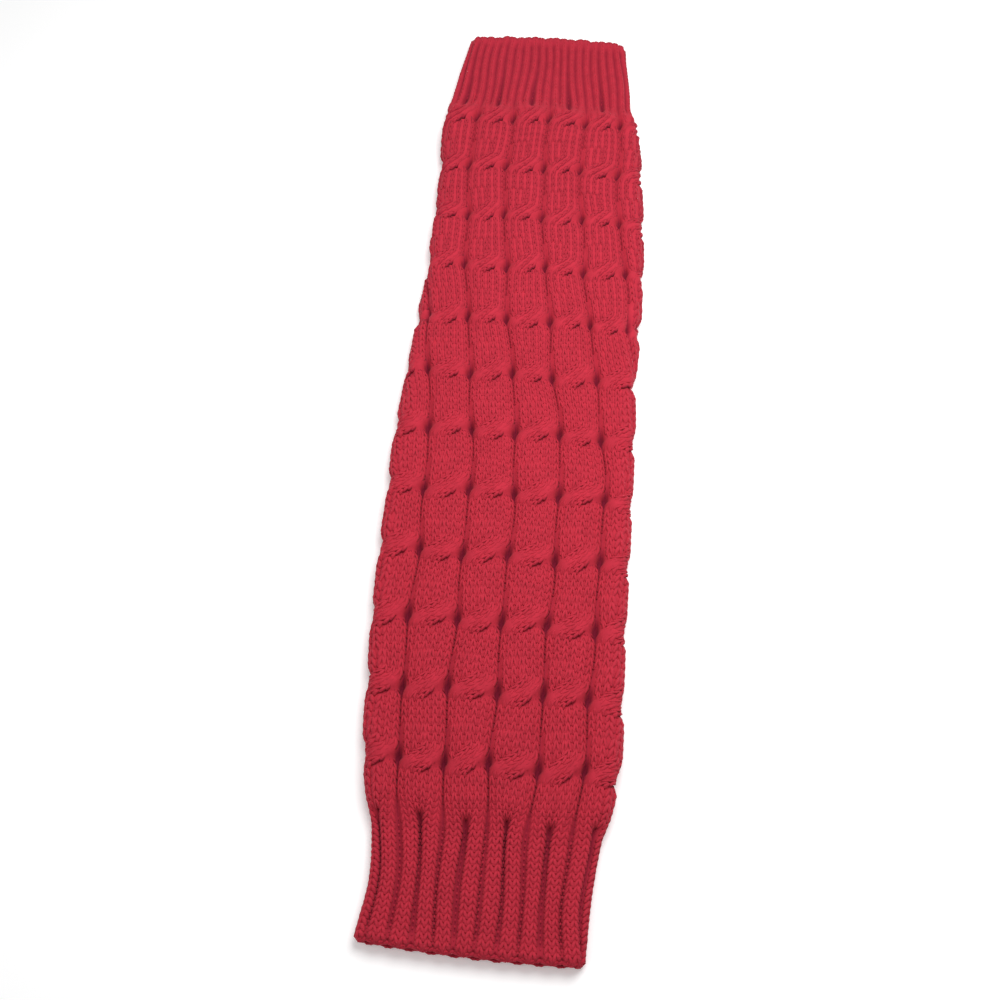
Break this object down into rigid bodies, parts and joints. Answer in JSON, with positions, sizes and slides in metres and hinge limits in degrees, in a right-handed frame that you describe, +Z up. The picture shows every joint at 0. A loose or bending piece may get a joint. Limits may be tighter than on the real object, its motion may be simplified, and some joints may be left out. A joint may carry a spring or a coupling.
{
  "type": "cable-knit leg warmer",
  "caption": "Footless knitted leg tube laid flat, with cables down the leg and a ribbed cuff at each open end.",
  "frame": {"origin": "centre of the bounding box on the surface that the leg warmer lies on", "axes": "+X across the leg, +Y along the leg to the narrow cuff, +Z up from the surface"},
  "size_m": [0.0916, 0.4, 0.0109],
  "materials": {
    "yarn": "matt red knitting yarn"
  },
  "bodies": {
    "root": {"leg_warmer_tube": "yarn"}
  },
  "joints": []
}
